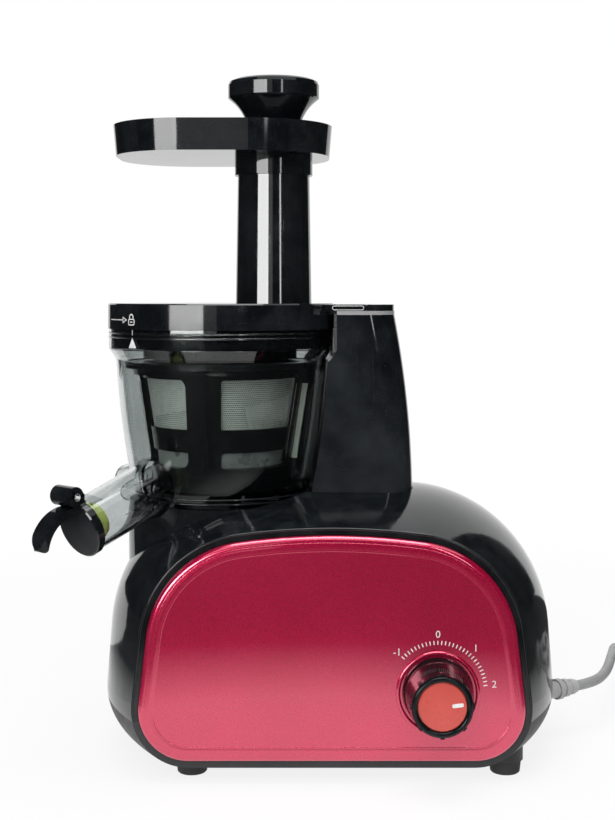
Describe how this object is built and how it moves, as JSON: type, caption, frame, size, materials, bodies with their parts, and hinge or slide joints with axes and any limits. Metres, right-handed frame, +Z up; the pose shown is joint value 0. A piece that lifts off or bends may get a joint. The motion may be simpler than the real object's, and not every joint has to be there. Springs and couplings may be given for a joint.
{
  "type": "slow juicer",
  "caption": "Upright slow juicer: loaf-shaped motor base with a red front and dial, clear bowl with strainer, brush and auger, flip-cap spout, feed chute, tray and pusher.",
  "frame": {"origin": "on the floor under the middle of the juicer, its loose cord left out", "axes": "+Z up, -Y towards the dial's side, +X from the bowl towards the cord's side"},
  "size_m": [0.491, 0.3432, 0.415],
  "materials": {
    "gloss_black": "gloss",
    "crimson_panel": "metallic gloss",
    "dark_grey": "matte",
    "foot_rubber": "matte",
    "knob_red": "satin",
    "bright_trim": "polished",
    "clear_bowl": "clear gloss",
    "screen_steel": "perforated",
    "frame_black": "satin",
    "wiper_white": "matte",
    "seal_green": "matte",
    "gasket_grey": "matte",
    "steel": "machined",
    "gear_white": "matte",
    "motor_metal": "satin",
    "switch_black": "matte",
    "board_green": "satin",
    "cord_grey": "satin",
    "tie_black": "matte",
    "plug_metal": "polished"
  },
  "bodies": {
    "base": {"base_housing": "gloss_black", "bottom_cover": "dark_grey", "base_screws": "steel", "front_panel": "crimson_panel", "foot_1": "foot_rubber", "foot_2": "foot_rubber", "foot_3": "foot_rubber", "foot_4": "foot_rubber", "tower_shell": "gloss_black", "tower_trim": "bright_trim", "tower_cap": "gloss_black", "interlock_switch": "switch_black", "motor_can": "motor_metal", "gearbox_plate": "gear_white", "gearbox_cover": "gear_white", "shaft_seal": "gasket_grey", "seat_pad": "gasket_grey", "speed_switch": "switch_black", "control_board": "board_green", "cord_gland": "cord_grey", "cord_lead": "cord_grey", "cord_coil": "cord_grey", "cord_tie": "tie_black", "plug_body": "cord_grey", "plug_blades": "plug_metal"},
    "drive": {"drive_shaft": "steel", "output_gear": "gear_white"},
    "counter": {"counter_gear": "gear_white"},
    "rotor": {"motor_pinion": "steel"},
    "knob": {"control_knob": "gloss_black", "knob_face": "knob_red", "knob_spindle": "steel"},
    "bowl": {"juice_bowl": "clear_bowl", "juice_spout": "clear_bowl", "pulp_spout": "clear_bowl", "bowl_gasket": "gasket_grey", "strainer_frame": "frame_black", "strainer_mesh": "screen_steel", "strainer_skirt": "clear_bowl"},
    "auger": {"auger": "frame_black"},
    "idler_1": {"idler_gear_1": "frame_black"},
    "idler_2": {"idler_gear_2": "frame_black"},
    "brush": {"brush_frame": "frame_black", "wiper_blade_1": "wiper_white", "wiper_blade_2": "wiper_white"},
    "spout_cap": {"juice_cap": "gloss_black", "cap_seal": "seal_green"},
    "lid": {"lid": "gloss_black", "lid_funnel": "gloss_black", "feed_chute": "gloss_black"},
    "tray": {"tray": "gloss_black"},
    "pusher": {"pusher": "gloss_black"}
  },
  "joints": [
    {"name": "drive_spin", "type": "hinge", "parent": "base", "child": "drive", "pos_m": [-0.0633, 0.015, 0], "axis": [0, 0, 1], "continuous": true},
    {"name": "counter_spin", "type": "hinge", "parent": "base", "child": "counter", "pos_m": [-0.0258, 0.015, 0], "axis": [0, 0, 1], "continuous": true},
    {"name": "rotor_spin", "type": "hinge", "parent": "base", "child": "rotor", "pos_m": [0.0117, 0.015, 0], "axis": [0, 0, 1], "continuous": true},
    {"name": "knob_turn", "type": "hinge", "parent": "base", "child": "knob", "pos_m": [0.0655, -0.0735, 0.0525], "axis": [0, -1, 0], "range_deg": [0, 131]},
    {"name": "bowl_lift", "type": "slide", "parent": "base", "child": "bowl", "axis": [0, 0, 1], "range_m": [0, 0.05]},
    {"name": "auger_spin", "type": "hinge", "parent": "bowl", "child": "auger", "pos_m": [-0.0633, 0.015, 0], "axis": [0, 0, 1], "continuous": true},
    {"name": "idler_1_spin", "type": "hinge", "parent": "bowl", "child": "idler_1", "pos_m": [-0.0633, 0.0325, 0], "axis": [0, 0, 1], "continuous": true},
    {"name": "idler_2_spin", "type": "hinge", "parent": "bowl", "child": "idler_2", "pos_m": [-0.0633, -0.0025, 0], "axis": [0, 0, 1], "continuous": true},
    {"name": "brush_spin", "type": "hinge", "parent": "bowl", "child": "brush", "pos_m": [-0.0633, 0.015, 0], "axis": [0, 0, 1], "continuous": true},
    {"name": "cap_flip", "type": "hinge", "parent": "bowl", "child": "spout_cap", "pos_m": [-0.14582, -0.07506, 0.16517], "axis": [-0.7373, 0.6756, 0], "range_deg": [0, 100]},
    {"name": "lid_twist", "type": "hinge", "parent": "bowl", "child": "lid", "pos_m": [-0.0633, 0.015, 0.26], "axis": [0, 0, 1], "range_deg": [-30, 0]},
    {"name": "tray_lift", "type": "slide", "parent": "lid", "child": "tray", "axis": [0, 0, 1], "range_m": [0, 0.03]},
    {"name": "pusher_lift", "type": "slide", "parent": "tray", "child": "pusher", "axis": [0, 0, 1], "range_m": [0, 0.1]}
  ],
  "couplings": [
    {"joint": "counter_spin", "follows": "drive_spin", "ratio": -4},
    {"joint": "rotor_spin", "follows": "drive_spin", "ratio": 16},
    {"joint": "auger_spin", "follows": "drive_spin", "ratio": 1},
    {"joint": "idler_1_spin", "follows": "drive_spin", "ratio": -1.3333},
    {"joint": "idler_2_spin", "follows": "drive_spin", "ratio": -1.3333},
    {"joint": "brush_spin", "follows": "drive_spin", "ratio": -0.4}
  ]
}
